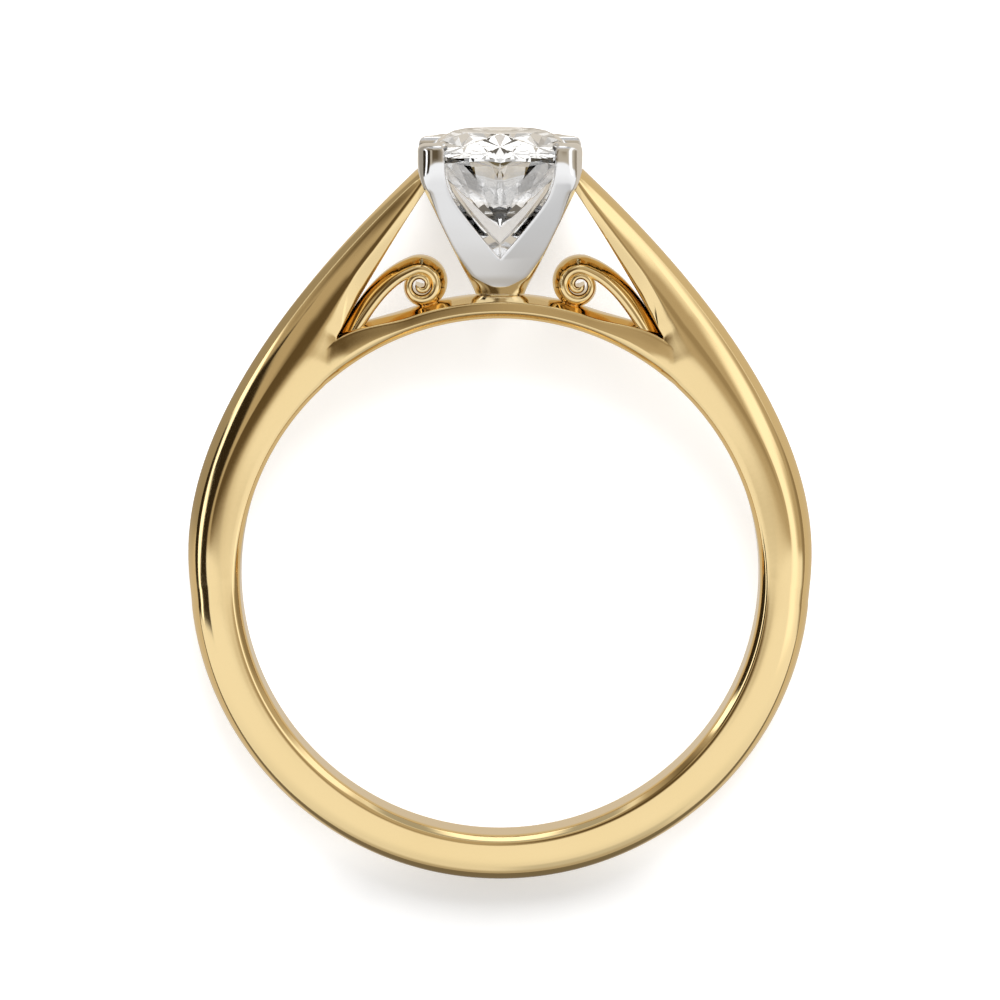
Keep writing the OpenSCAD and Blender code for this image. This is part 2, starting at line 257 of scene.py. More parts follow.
def sectionRing(outer, inner, halfW, plain, under, comfort):
    # half section from the crown to the inner wall: a rounded bevel on the shoulders, a dome on the hoop
    deep = (inner - outer).length
    way = (inner - outer) / deep
    bevel = min(shank["bevelH"], deep * shank["bevelShare"])
    lowH = max(under, comfort)
    lowW = max(0.6 * under, comfort)
    dome = min(deep, shank["bandT"]) * shank["domeShare"]
    slim = bevel / shank["bevelH"]  # towards the tip all is smaller, so that the face turns as slowly there
    ridge = min(1.5 * bevel, mix(bevel, deep - lowH, 0.7))
    # each corner is its depth below the crown and its place out from the middle
    bevelled = [(0, 0), (0, 0.3 * halfW), (0.38 * bevel, 0.73 * halfW),
                (bevel, halfW - shank["creaseDepth"] * slim), (ridge, halfW + shank["bulge"] * slim),
                (deep - lowH, halfW - 0.02), (deep, halfW - lowW), (deep, 0)]
    domed = [(0, 0), (0, 0.3 * halfW), (0.1 * dome, 0.72 * halfW), (0.36 * dome, 0.93 * halfW),
             (0.7 * dome, halfW), (deep - lowH, halfW), (deep, halfW - lowW), (deep, 0)]
    lowCut = mix(0.12, 0.08, plain)
    cuts = [0.2, 0.25, 0.22, 0.5, lowCut, lowCut]
    corners = [Vector(a).lerp(Vector(b), plain) for a, b in zip(bevelled, domed)]
    half = softCorners(corners, cuts)
    ring = [Vector((*(outer + way * p.x), p.y)) for p in half]
    ring += [Vector((*(outer + way * p.x), -p.y)) for p in half[-2:0:-1]]
    return ring


def mirrorX(ring):
    return [Vector((-p.x, p.y, p.z)) for p in ring]


def bodyRings():
    rings = []
    count = shank["shoulderRings"]
    for k in range(count + 1):
        t = k / count
        comfort = mix(shank["sharpRound"], shank["comfort"], ease((t - shank["roundShare"]) / 0.05))
        rings.append(sectionRing(outerLine(t ** shank["outerPace"]), innerLine(t), shoulderW(t) / 2,
                                 0.5 * ease((t - 0.5) / 0.5), underBevel(t), comfort))
    count = shank["hoopRings"]
    for k in range(1, count + 1):
        s = k / count
        angle = mix(shank["shoulderEnd"], 180, s)
        r = mix(sideR, holeR + shank["bandT"], ease(s))
        rings.append(sectionRing(polar(r, angle), polar(holeR, angle), shank["bandW"] / 2,
                                 mix(0.5, 1, ease(s * 2)), 0, shank["comfort"]))
    return rings + [mirrorX(ring) for ring in rings[-2::-1]]


def bridgeRings():
    rings = []
    count = shank["bridgeRings"]
    halfW = shank["bridgeW"] / 2
    soft = shank["comfort"]
    fadeFrom, fadeSpan = shank["bridgeFade"]
    for k in range(count + 1):
        angle = mix(-shank["bridgeReach"], shank["bridgeReach"], k / count)
        out = polar(1, angle)
        # the ends stay hidden inside the hoop
        lift = shank["bridgeLift"] * ease((abs(angle) - shank["bridgeReach"] + 4) / 3)
        end = ease((abs(angle) - shank["bridgeEndFrom"]) / shank["bridgeEndSpan"])
        edge = bridgeEdgeR + shank["bridgeSwell"] * end
        top = edge + shank["bridgeCrown"] * mix(1, 0.4, end)
        flare = ease((abs(angle) - shank["bridgeFlareFrom"]) / shank["bridgeFlareSpan"])
        sink = ease((abs(angle) - fadeFrom) / fadeSpan)
        w = halfW + shank["bridgeFlare"] * flare - shank["bridgeSink"] * sink
        corners = [(top, 0), (top - 0.01, 0.5 * w), (edge + 0.02, w - 0.05), (edge - 0.03, w - 0.02),
                   (mix(holeR, edge, 0.55), w), (holeR + soft, w), (holeR + lift, w - soft),
                   (holeR + lift, 0)]
        half = softCorners(corners, [0.3, 0.04, 0.04, 0.15, 0.1, 0.1])
        ring = [Vector((*(out * p.x), p.y)) for p in half]
        ring += [Vector((*(out * p.x), -p.y)) for p in half[-2:0:-1]]
        rings.append(ring)
    return rings


# Scrolls
scroll = {
    "curlR": 0.67,
    "turns": 1.75,
    "stripT": 0.34,
    "curlT": 0.3,
    "endT": 0.2,
    "stripW": 1.6,
    "dome": 0.26,
    "curlX": 2.5,
    "curlSink": 0.04,
    "startAngle": 68,
    "footDepth": 0.1,  # the strip starts this deep in the bridge
    "footBack": 1.6,
    "footHandle": (-0.8, 1.45),
    "curlHandle": 0.75,
    "innerR": 0.06,
    "windPace": 1.45,  # above 1 the outer turn stays wide for longer
    "rings": 200,
}
curlReach = bridgeTopR + scroll["curlR"] - scroll["curlSink"]
curlCentre = Vector((scroll["curlX"], math.sqrt(curlReach ** 2 - scroll["curlX"] ** 2)))


def scrollPoint(t):  # 0 to 1 is the rise from the notch, 1 to 2 the curl
    if t < 1:
        a = math.radians(scroll["startAngle"])
        start = polar(bridgeTopR - scroll["footDepth"], shank["notchAngle"] - scroll["footBack"])
        join = scrollPoint(1)
        return cubic(start, start + Vector(scroll["footHandle"]),
                     join + scroll["curlHandle"] * Vector((math.sin(a), -math.cos(a))), join, t)
    a = math.radians(scroll["startAngle"] + (t - 1) * scroll["turns"] * 360)
    r = mix(scroll["curlR"] - scroll["curlT"] / 2, scroll["innerR"], (t - 1) ** scroll["windPace"])
    return curlCentre + r * Vector((math.cos(a), math.sin(a)))


def scrollRings():
    rings = []
    for k in range(scroll["rings"] + 1):
        t = mix(0, 2, k / scroll["rings"])
        heading = (scrollPoint(t + 0.003) - scrollPoint(t - 0.003)).normalized()
        out = Vector((heading.y, -heading.x))
        if t < 1:
            thick = mix(scroll["stripT"], scroll["curlT"], t)
            dome = scroll["dome"]
        else:
            thick = mix(scroll["curlT"], scroll["endT"], ease((t - 1) / 0.7))
            dome = mix(scroll["dome"], 0.1 * scroll["dome"], ease((t - 1) / 0.6))
        w = scroll["stripW"] / 2
        # the front and back edges are a little rounded, as buffed wire is
        corners = [(thick / 2 + dome, 0), (thick / 2 + dome, 0.5 * w), (thick / 2 + 0.01, w - 0.06),
                   (0.24 * thick, w + 0.03), (-0.24 * thick, w + 0.03), (-thick / 2, w - 0.08),
                   (-thick / 2, 0)]
        half = softCorners(corners, [0.35, 0.06, 0.09, 0.09, 0.06], 3, 4)
        p = scrollPoint(t)
        ring = [Vector((*(p + out * q.x), q.y)) for q in half]
        ring += [Vector((*(p + out * q.x), -q.y)) for q in half[-2:0:-1]]
        rings.append(ring)
    return rings


def makeShank():
    verts = []
    faces = []
    skinRings(verts, faces, bodyRings())
    skinRings(verts, faces, bridgeRings())
    curls = scrollRings()
    skinRings(verts, faces, curls)
    skinRings(verts, faces, [mirrorX(ring) for ring in curls])
    return makePiece("goldShank", verts, faces, 60)


shankPiece = makeShank()
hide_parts("shank")
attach(shankPiece, "root")
print("shank made,", len(shankPiece.data.polygons), "faces")

# Stone: a blank with a smooth oval girdle, cut by flat facets as a lapidary does
stone = {
    "table": 0.58,
    "star": 0.79,
    "lower": 0.26,
    "girdleSides": 96,
    "blankBelow": 3,  # the uncut blank reaches this far from the girdle
    "blankAbove": 2,
    "gap": 0.02,
}


def facetPlanes():
    # planes of a round brilliant of radius 1 and real heights, through three of their corners each
    top = setting["girdleY"] + setting["girdleT"]
    main = math.cos(math.radians(22.5))
    starY = top + setting["crownH"] * (1 - stone["star"] * main) / (1 - stone["table"])
    lowY = setting["girdleY"] - setting["pavilionH"] * (1 - stone["lower"] * main)
    tableY = top + setting["crownH"]
    culet = Vector((0, setting["girdleY"] - setting["pavilionH"], 0))

    def at(r, degrees, y):
        p = polar(r, degrees)
        return Vector((p.x, y, p.y))

    planes = [(at(0.3, 0, tableY), at(0.3, 120, tableY), at(0.3, 240, tableY))]
    for k in range(8):
        a = 45 * k
        star = at(stone["star"], a + 22.5, starY)
        planes.append((at(1, a, top), star, at(stone["star"], a - 22.5, starY)))
        planes.append((at(stone["table"], a, tableY), at(stone["table"], a + 45, tableY), star))
        planes.append((at(1, a, setting["girdleY"]), at(stone["lower"], a + 22.5, lowY), culet))
        for side in (-22.5, 22.5):
            planes.append((at(stone["star"], a + side, starY), at(1, a, top), at(1, a + side, top)))
            planes.append((at(stone["lower"], a + side, lowY), at(1, a, setting["girdleY"]),
                           at(1, a + side, setting["girdleY"])))
    return planes


def cutStone(grow):
    bm = bmesh.new()
    middle = Vector((0, setting["girdleY"] + setting["girdleT"] / 2, 0))
    count = stone["girdleSides"]
    turn = 2 * math.pi / count
    rims = []
    for y in (middle.y - stone["blankBelow"], middle.y + stone["blankAbove"]):
        rims.append([bm.verts.new((math.sin(turn * i), y, math.cos(turn * i))) for i in range(count)])
    for i in range(count):
        bm.faces.new((rims[0][i], rims[0][(i + 1) % count], rims[1][(i + 1) % count], rims[1][i]))
    bm.faces.new(rims[0])
    bm.faces.new(rims[1])
    for a, b, c in facetPlanes():
        normal = (b - a).cross(c - a).normalized()
        if normal.dot(a - middle) < 0:
            normal = -normal
        cut = bmesh.ops.bisect_plane(bm, geom=bm.verts[:] + bm.edges[:] + bm.faces[:], plane_co=a,
                                     plane_no=normal, clear_outer=True, dist=1e-6)
        rim = [e for e in cut["geom_cut"] if isinstance(e, bmesh.types.BMEdge)]
        bmesh.ops.contextual_create(bm, geom=rim)
    bmesh.ops.remove_doubles(bm, verts=bm.verts[:], dist=1e-5)
    bmesh.ops.recalc_face_normals(bm, faces=bm.faces)
    for v in bm.verts:
        height = middle.y + (v.co.y - middle.y) * (1 + grow / 2)
        v.co = Vector((v.co.x * (setting["stoneW"] / 2 + grow), height,
                       v.co.z * (setting["stoneL"] / 2 + grow)))
    mesh = bpy.data.meshes.new("ovalStone")
    bm.transform(toRow)
    bm.to_mesh(mesh)
    bm.free()
    piece = bpy.data.objects.new("ovalStone", mesh)
    bpy.context.scene.collection.objects.link(piece)
    return piece


stonePiece = cutStone(0)
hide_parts("stone")
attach(stonePiece, "root")
print("stone cut,", len(stonePiece.data.polygons), "facets and girdle faces")

# Head: a four-sided cup, hollowed and cut by a V on each side so that four prongs stay
head = {
    "footCorner": 0.4,
    "sharpCorner": 0.04,
    "prongCorner": 0.62,
    "ovalCorner": 0.97,  # corner of a square of half width 1, so nearly a circle
    "ovalShare": 0.16,  # the oval foot has turned square by this share of the rise
    "bendStart": 0.87,
    "tipRound": 0.24,
    "tipLift": 0.02,
    "ridge": 0.09,  # how far the two halves of the front turn away from each other
    "clawR": 0.17,
    "clawX": 1.8,
    "clawZ": 2.2,
    "clawDrop": 0.09,
    "clawRoot": (0.45, 0.15, 0.4),  # how far inside the prong's top corner the claw starts
    "prongW": 0.84,
    "deepV": 3.15,
    "sideV": 1.35,
    "climb": 0.43,
    "elbow": (0.88, 0.66),  # where the V's sides bend: share of its half width, and of the way up
    "closing": 0.12,
    "wall": 0.7,
    "wallCorner": 0.4,
    "floor": (0.25, 0.22, 0.1, 0.18),  # the hollow's floor: half sizes, corner and height over the V
    "overcut": 0.4,
    "seatAngle": 20,  # how far to each side the foot's seat is cut, degrees from the stone
    "seatSteps": 60,
    "seatCorners": 12,
    "cornerSteps": 14,
    "vSteps": 24,
    "riseSteps": 40,
    "bendSteps": 20,
    "roundSteps": 10,
}


def roundedRing(halfX, halfZ, corner, y, ridge=0):
    # a rectangle with round corners; a ridge lifts the middle of the front and of the back
    ring = []
    middles = ((0, halfZ + ridge), (-halfX, 0), (0, -halfZ - ridge), (halfX, 0))
    for turn, (sx, sz) in enumerate(((1, 1), (-1, 1), (-1, -1), (1, -1))):
        for k in range(head["cornerSteps"] + 1):
            a = math.radians(90 * turn + 90 * k / head["cornerSteps"])
            ring.append(Vector((sx * (halfX - corner) + corner * math.cos(a), y,
                                sz * (halfZ - corner) + corner * math.sin(a))))
        ring.append(Vector((middles[turn][0], y, middles[turn][1])))
    return ring


def vCut(drop, halfGap, reach, face, turned):
    # prism across the head; its floor rises and its sides close in inwards
    rings = []
    point = setting["girdleY"] - drop
    share, way = head["elbow"]
    for k in range(head["vSteps"] + 1):
        z = mix(reach, -reach, k / head["vSteps"])
        floorY = point + head["climb"] * (face - abs(z))
        gap = halfGap - head["closing"] * (1 - abs(z) / reach)
        elbow = mix(floorY, setting["girdleY"], way)
        outline = softCorners([(gap + 0.9, prongTopY + 0.5), (gap + 0.14, prongTopY + 0.04),
                               (gap, prongTopY - 0.2), (gap, bendY), (gap * share, elbow), (0, floorY)],
                              [0.3, 0.12, 0.3, 0.5], 4, 6)
        ring = [Vector((p.x, p.y, z)) for p in outline]
        ring += [Vector((-p.x, p.y, z)) for p in outline[-2::-1]]
        rings.append([Vector((p.z, p.y, -p.x)) for p in ring] if turned else ring)
    return rings


def clawRings(start, end):
    # a short round finger from the prong to its domed tip
    along = (end - start).normalized()
    side = along.cross(Vector((0, 1, 0))).normalized()
    up = side.cross(along)
    rings = []
    for k in range(9):
        a = math.radians(10 * k)
        r = head["clawR"] * math.cos(a)
        middle = end + along * (head["clawR"] * math.sin(a))
        rings.append([middle + side * (r * math.cos(b)) + up * (r * math.sin(b))
                      for b in (math.radians(15 * i) for i in range(24))])
    rings.insert(0, [p + (start - end) for p in rings[0]])
    return rings


headTop = (setting["headW"] / 2, setting["headL"] / 2)
headFoot = (setting["footW"] / 2, setting["footL"] / 2)


def cupRings():
    footY = bridgeTopR - shank["bridgeCrown"]
    rings = []
    for y in (footY, bridgeTopR):
        oval = roundedRing(1, 1, head["ovalCorner"], y)
        rings.append([Vector((p.x * headFoot[0], y, p.z * headFoot[1])) for p in oval])
    # the corners get sharp up the cup and round again on the prongs, which bend upright
    for k in range(1, head["riseSteps"] + 1):
        rise = head["bendStart"] * k / head["riseSteps"]
        half = [mix(headFoot[i], headTop[i], rise) for i in (0, 1)]
        corner = mix(head["footCorner"], head["sharpCorner"], ease(rise / 0.45))
        corner = mix(corner, head["prongCorner"], 0.4 * ease((rise - 0.55) / 0.32))
        y = mix(bridgeTopR, bendY, rise)
        squared = roundedRing(*half, min(corner, half[1] - 0.005), y,
                              head["ridge"] * math.sin(math.pi * rise))
        oval = roundedRing(1, 1, head["ovalCorner"], y)
        rings.append([Vector((q.x * half[0], y, q.z * half[1])).lerp(p, ease(rise / head["ovalShare"]))
                      for p, q in zip(squared, oval)])
    lowSides = [mix(headFoot[i], headTop[i], head["bendStart"]) for i in (0, 1)]
    lowY = mix(bridgeTopR, bendY, head["bendStart"])
    lowRidge = head["ridge"] * math.sin(math.pi * head["bendStart"])
    for k in range(1, head["bendSteps"] + 1):
        t = k / head["bendSteps"]
        y = (1 - t) ** 2 * lowY + 2 * t * (1 - t) * bendY + t * t * (2 * bendY - lowY)
        half = [mix(lowSides[i], headTop[i], 1 - (1 - t) ** 2) for i in (0, 1)]
        corner = mix(0.4, 1, ease(t)) * head["prongCorner"]
        rings.append(roundedRing(*half, corner, y, lowRidge * (1 - ease(t))))
    for k in range(head["roundSteps"] + 1):
        a = math.radians(90 * k / head["roundSteps"])
        inset = head["tipRound"] * (1 - math.cos(a))
        rings.append(roundedRing(headTop[0] - inset, headTop[1] - inset, head["prongCorner"] - 0.3 * inset,
                                 prongTopY + head["tipLift"] - head["tipRound"] * (1 - math.sin(a))))
    return rings


def hollowRings():
    inside = [side - head["wall"] for side in headTop]
    floorX, floorZ, corner, lift = head["floor"]
    return [roundedRing(floorX, floorZ, corner, setting["girdleY"] - head["deepV"] + lift),
            roundedRing(*inside, head["wallCorner"], bendY),
            roundedRing(*inside, head["wallCorner"], prongTopY + 0.6)]


def faceAt(side, drop):
    # how far out the cup's outer face stands at a V's point
    rise = (setting["girdleY"] - drop - bridgeTopR) / (bendY - bridgeTopR)
    return mix(headFoot[side], headTop[side], rise)


def crownRings():
    # the foot follows the bridge's crown, a solder gap away
    rings = []
    grow = setting["solderGap"]
    w = shank["bridgeW"] / 2 + 0.1
    count = head["seatCorners"]
    for k in range(head["seatSteps"] + 1):
        out = polar(1, mix(-head["seatAngle"], head["seatAngle"], k / head["seatSteps"]))
        outline = [(bridgeTopR + grow - shank["bridgeCrown"] * (i / count) ** 2 * 1.2, w * i / count)
                   for i in range(count + 1)]
        outline.append((holeR, w))
        ring = [Vector((*(out * r), z)) for r, z in outline]
        ring += [Vector((*(out * r), -z)) for r, z in outline[:0:-1]]
        rings.append(ring)
    return rings


def makeHead():
    top = headTop
    shapes = {
        "cup": cupRings(),
        "hollow": hollowRings(),
        "frontV": vCut(head["deepV"], top[0] - head["prongW"], top[1] + head["overcut"],
                       faceAt(1, head["deepV"]), False),
        "sideV": vCut(head["sideV"], top[1] - head["prongW"], top[0] + head["overcut"],
                      faceAt(0, head["sideV"]), True),
    }
    objects = {}
    for name, shape in shapes.items():
        verts = []
        faces = []
        skinRings(verts, faces, shape)
        objects[name] = makePiece(name, verts, faces, 40)
    objects["seat"] = cutStone(stone["gap"])
    verts = []
    faces = []
    skinRings(verts, faces, crownRings())
    objects["crown"] = makePiece("crown", verts, faces, 40)
    piece = objects.pop("cup")
    for cutter in objects.values():
        cutting = piece.modifiers.new("cut", "BOOLEAN")
        cutting.operation = "DIFFERENCE"
        cutting.object = cutter
        cutting.solver = "EXACT"
    bpy.context.view_layer.update()
    cut = bpy.data.meshes.new_from_object(piece.evaluated_get(bpy.context.evaluated_depsgraph_get()))
    piece.modifiers.clear()
    piece.data = cut
    for cutter in objects.values():
        bpy.data.objects.remove(cutter)
    # each prong's claw leans over the stone's crown
    verts = []
    faces = []
    inX, inY, inZ = head["clawRoot"]
    for sx in (1, -1):
        for sz in (1, -1):
            root = Vector((sx * (top[0] - inX), prongTopY - inY, sz * (top[1] - inZ)))
            tip = Vector((sx * head["clawX"], prongTopY - head["clawDrop"], sz * head["clawZ"]))
            skinRings(verts, faces, clawRings(root, tip))
    claws = makePiece("claws", verts, faces, 40)
    bm = bmesh.new()
    bm.from_mesh(cut)
    bm.from_mesh(claws.data)
    bm.to_mesh(cut)
    bm.free()
    bpy.data.objects.remove(claws)
    cut.shade_smooth()
    cut.set_sharp_from_angle(angle=math.radians(25))
    piece.name = "fourProngHead"
    return piece


headPiece = makeHead()
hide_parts("head")
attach(headPiece, "root")
print("head cut,", len(headPiece.data.polygons), "faces")


# Materials
def linear(hexColour):
    values = [int(hexColour[i:i + 2], 16) / 255 for i in (1, 3, 5)]
    return [v / 12.92 if v <= 0.04045 else ((v + 0.055) / 1.055) ** 2.4 for v in values] + [1.0]


def addNode(tree, kind, settings=None, inputs=None):
    node = tree.nodes.new(kind)
    for key, value in (settings or {}).items():
        setattr(node, key, value)
    for key, value in (inputs or {}).items():
        if isinstance(value, bpy.types.NodeSocket):
            tree.links.new(value, node.inputs[key])
        else:
            node.inputs[key].default_value = value
    return node


def newMaterial(name):
    material = bpy.data.materials.new(name)
    material.use_nodes = True
    tree = material.node_tree
    tree.nodes.clear()
    return material, tree


def polishedMetal(name, look):
    # a buffed metal: mirror bright, with faint wheel marks, a trace of mottling and softened edges;
    # real wheel marks are finer, and are drawn coarser so that they can show at all
    material, tree = newMaterial(name)
    place = addNode(tree, "ShaderNodeTexCoord")
    mottle = addNode(tree, "ShaderNodeTexNoise", None,
                     {"Vector": place.outputs["Object"], "Scale": 1000 / look["mottleMm"], "Detail": 3.0})
    colour = addNode(tree, "ShaderNodeMix", {"data_type": "RGBA"},
                     {"Factor": mottle.outputs["Fac"], "A": linear(look["dark"]), "B": linear(look["light"])})
    wheel = addNode(tree, "ShaderNodeTexNoise", None,
                    {"Vector": place.outputs["Object"], "Scale": 1000 / look["wheelMm"], "Detail": 2.0})
    rough = addNode(tree, "ShaderNodeMapRange", None,
                    {"Value": wheel.outputs["Fac"], "To Min": look["roughLow"], "To Max": look["roughHigh"]})
    edge = addNode(tree, "ShaderNodeBevel", {"samples": 8}, {"Radius": look["edgeMm"] / 1000})
    bump = addNode(tree, "ShaderNodeBump", None,
                   {"Height": wheel.outputs["Fac"], "Strength": look["wheelStrength"], "Distance": 0.00001,
                    "Normal": edge.outputs["Normal"]})
    shader = addNode(tree, "ShaderNodeBsdfPrincipled", None,
                     {"Base Color": colour.outputs["Result"], "Metallic": 1.0,
                      "Roughness": rough.outputs["Result"], "Normal": bump.outputs["Normal"]})
    addNode(tree, "ShaderNodeOutputMaterial", None, {"Surface": shader.outputs["BSDF"]})
    return material


# 14 carat yellow gold, cast and buffed: a warm mirror; its brown depths are painted reflections of the sky's
#                                        panels
yellowGold = {"dark": "#EFD49C", "light": "#F4DBA6", "mottleMm": 4.0, "wheelMm": 0.12, "roughLow": 0.06,
              "roughHigh": 0.1, "wheelStrength": 0.01, "edgeMm": 0.02}
# Rhodium plated white gold: neutral and a little brighter than steel
whiteGold = {"dark": "#ECECED", "light": "#F4F4F4", "mottleMm": 3.0, "wheelMm": 0.1, "roughLow": 0.03,
             "roughHigh": 0.07, "wheelStrength": 0.01, "edgeMm": 0.13}


# Colourless diamond, cut and polished: clear, with strong bright and grey facets
diamond = {"dark": "#FAFBFC", "light": "#FFFFFF", "hazeMm": 1.43, "ior": 2.417}


def cutDiamond(look):
    material, tree = newMaterial("diamondCutPolished")
    place = addNode(tree, "ShaderNodeTexCoord")
    haze = addNode(tree, "ShaderNodeTexNoise", None,
                   {"Vector": place.outputs["Object"], "Scale": 1000 / look["hazeMm"], "Detail": 2.0})
    tint = addNode(tree, "ShaderNodeMix", {"data_type": "RGBA"},
                   {"Factor": haze.outputs["Fac"], "A": linear(look["dark"]), "B": linear(look["light"])})
    shader = addNode(tree, "ShaderNodeBsdfPrincipled", None,
                     {"Base Color": tint.outputs["Result"], "Transmission Weight": 1.0, "IOR": look["ior"],
                      "Roughness": 0.0})
    addNode(tree, "ShaderNodeOutputMaterial", None, {"Surface": shader.outputs["BSDF"]})
    return material


for piece, material in ((shankPiece, polishedMetal("yellowGoldBuffed", yellowGold)),
                        (headPiece, polishedMetal("whiteGoldRhodium", whiteGold)),
                        (stonePiece, cutDiamond(diamond))):
    piece.data.materials.clear()
    piece.data.materials.append(material)
print("materials set")

# Floor, studio light and camera
studio = {
    "floorSize": 1.2,
    "floorDark": "#F4F4F4",
    "floorPale": "#F8F8F8",
    "grainMm": 1.1,
    "roomLight": 1.02,
    "floorLight": 0.84,
    "stoneLight": 0.85,  # plain light in the stone, and how much it counts beside the panels
    "stoneWash": 0.36,
    # painted glow of the board, and its lower level in front of the hoop's bottom as a painted shadow
    "tableGlow": 0.35,
    "frontGlow": 0.07,
    "tableEdge": (-10.5, -8.5),  # the board's painted glow and its painted reflection fall off in front of this, a painted shadow before the hoop's bottom, mm
    # what the metal's mirror shows of the board: a painted reflection, tinted, with a painted shadow near the
    # hoop
    "mirroredTint": "#FFF3E0",
    "mirroredBoard": 0.68,
    "mirroredShade": 0.2,
    "flag": (-9, -6.5, -1, 3, 0.55),  # a painted dark patch on the board, seen only in the metal's mirror: where it starts across and up, mm, and how dark it is
    "keySpot": (20, 130, 110),
    "keySize": 0.12,
    "keyPower": 0.22,
}
lowest = cadBox[0][2]


def makeFloor():
    s = studio["floorSize"] / 2
    mesh = bpy.data.meshes.new("studioFloor")
    corners = [(-s, -s, lowest), (s, -s, lowest), (s, s, lowest), (-s, s, lowest)]
    mesh.from_pydata(corners, [], [(0, 1, 2, 3)])
    floor = bpy.data.objects.new("studioFloor", mesh)
    bpy.context.scene.collection.objects.link(floor)
    material, tree = newMaterial("paintedBoardMatt")
    place = addNode(tree, "ShaderNodeTexCoord")
    grain = addNode(tree, "ShaderNodeTexNoise", None,
                    {"Vector": place.outputs["Object"], "Scale": 1000 / studio["grainMm"]})
    tone = addNode(tree, "ShaderNodeMix", {"data_type": "RGBA"},
                   {"Factor": grain.outputs["Fac"], "A": linear(studio["floorDark"]),
                    "B": linear(studio["floorPale"])})
    # painted light: the board glows as if lit from behind, and glows less in front of the hoop's bottom,
    # which paints a shadow there
    across = addNode(tree, "ShaderNodeSeparateXYZ", None, {"Vector": place.outputs["Object"]})
    start, end = studio["tableEdge"]
    paintedGlowRamp = addNode(tree, "ShaderNodeMapRange", {"interpolation_type": "SMOOTHSTEP"},
                   {"Value": across.outputs["Y"], "From Min": start / 1000, "From Max": end / 1000,
                    "To Min": studio["frontGlow"], "To Max": studio["tableGlow"]})
    painted = addNode(tree, "ShaderNodeBsdfPrincipled", None,
                      {"Base Color": tone.outputs["Result"], "Roughness": 0.9, "Emission Color": (1, 1, 1, 1),
                       "Emission Strength": paintedGlowRamp.outputs["Result"]})
    # painted reflection: in the metal's mirror the board shows as an even glow, paler than the sky, with a
    # painted shadow where the hoop touches it
    paintedShadowRamp = addNode(tree, "ShaderNodeMapRange", {"interpolation_type": "SMOOTHSTEP"},
                   {"Value": across.outputs["Y"], "From Min": start / 1000, "From Max": end / 1000,
                    "To Min": studio["mirroredShade"], "To Max": studio["mirroredBoard"]})
    # a dark patch painted on the board, which only the metal's mirror sees, paints a dark reflection along
    # the left shoulder's outer edge
    darkPatchLeft, darkPatchRight, darkPatchLow, darkPatchHigh, darkPatchLevel = studio["flag"]
    left = addNode(tree, "ShaderNodeMapRange", {"interpolation_type": "SMOOTHSTEP"},
                   {"Value": across.outputs["X"], "From Min": darkPatchLeft / 1000, "From Max": darkPatchRight / 1000,
                    "To Min": darkPatchLevel, "To Max": 1.0})
    high = addNode(tree, "ShaderNodeMapRange", {"interpolation_type": "SMOOTHSTEP"},
                   {"Value": across.outputs["Y"], "From Min": darkPatchLow / 1000, "From Max": darkPatchHigh / 1000,
                    "To Min": 1.0, "To Max": left.outputs["Result"]})
    level = addNode(tree, "ShaderNodeMath", {"operation": "MULTIPLY"},
                    {0: paintedShadowRamp.outputs["Result"], 1: high.outputs["Result"]})
    paintedMirror = addNode(tree, "ShaderNodeEmission", None,
                       {"Color": linear(studio["mirroredTint"]), "Strength": level.outputs["Value"]})
    # mirror rays see the painted reflection, all other rays the painted board
    rays = addNode(tree, "ShaderNodeLightPath")
    inMetal = addNode(tree, "ShaderNodeMath", {"operation": "SUBTRACT", "use_clamp": True},
                      {0: rays.outputs["Is Glossy Ray"], 1: rays.outputs["Is Transmission Ray"]})
    shader = addNode(tree, "ShaderNodeMixShader", None,
                     {0: inMetal.outputs["Value"], 1: painted.outputs["BSDF"],
                      2: paintedMirror.outputs["Emission"]})
    addNode(tree, "ShaderNodeOutputMaterial", None, {"Surface": shader.outputs["Shader"]})
    mesh.materials.append(material)


# Painted reflections: what the polished metal mirrors, panels round the ring that only mirror and
# transmission rays see and that light nothing, each as brightness, tint, the ranges of its direction across,
# up and towards the camera in the ring's frame, and how soft its border is; the dark and tinted ones paint
# the gold's streaks, brown depths and highlights
paintedReflectionPanels = [
    (0.88, "#FFFFFF", (-2, 2), (-2, -0.55), (-2, 2), 0.2),
    (0.64, "#FFFFFF", (0.03, 0.45), (-2, -0.7), (0.1, 0.75), 0.06),
    (0.5, "#FFF6E8", (-2, 2), (-2, -0.85), (-2, 0.42), 0.1),
    (0.12, "#FFE9C8", (-2, 2), (-2, -0.97), (-2, 0.2), 0.03),
    (0.52, "#FFF0D8", (-2, 2), (-0.11, 0.8), (0, 2), 0.03),
    (0.12, "#FFDDAA", (-0.5, -0.03), (-0.09, 0.5), (0, 2), 0.06),
    (0.12, "#FFDDAA", (-0.8, -0.42), (0.5, 0.7), (0, 2), 0.09),
    (0.36, "#FFEBCB", (0.06, 0.4), (-0.01, 0.19), (0, 2), 0.05),
    (1.3, "#FFFFFF", (0.6, 0.82), (-0.3, 0.9), (0, 2), 0.06),
    (0.03, "#FFDDAA", (-1.1, -0.66), (-0.25, 0.42), (-0.3, 2), 0.02),
    (1.8, "#FFFFFF", (-0.93, -0.86), (-0.25, 0.6), (-0.3, 2), 0.015),
    (0.3, "#FFEBCB", (0.95, 1.1), (-0.3, 0.9), (-0.4, 2), 0.03),
    (0.45, "#FFFFFF", (-2, 2), (0.84, 2), (-2, 2), 0.03),
    (1.6, "#FFFFFF", (-2, 2), (0.955, 2), (-2, 2), 0.02),
]


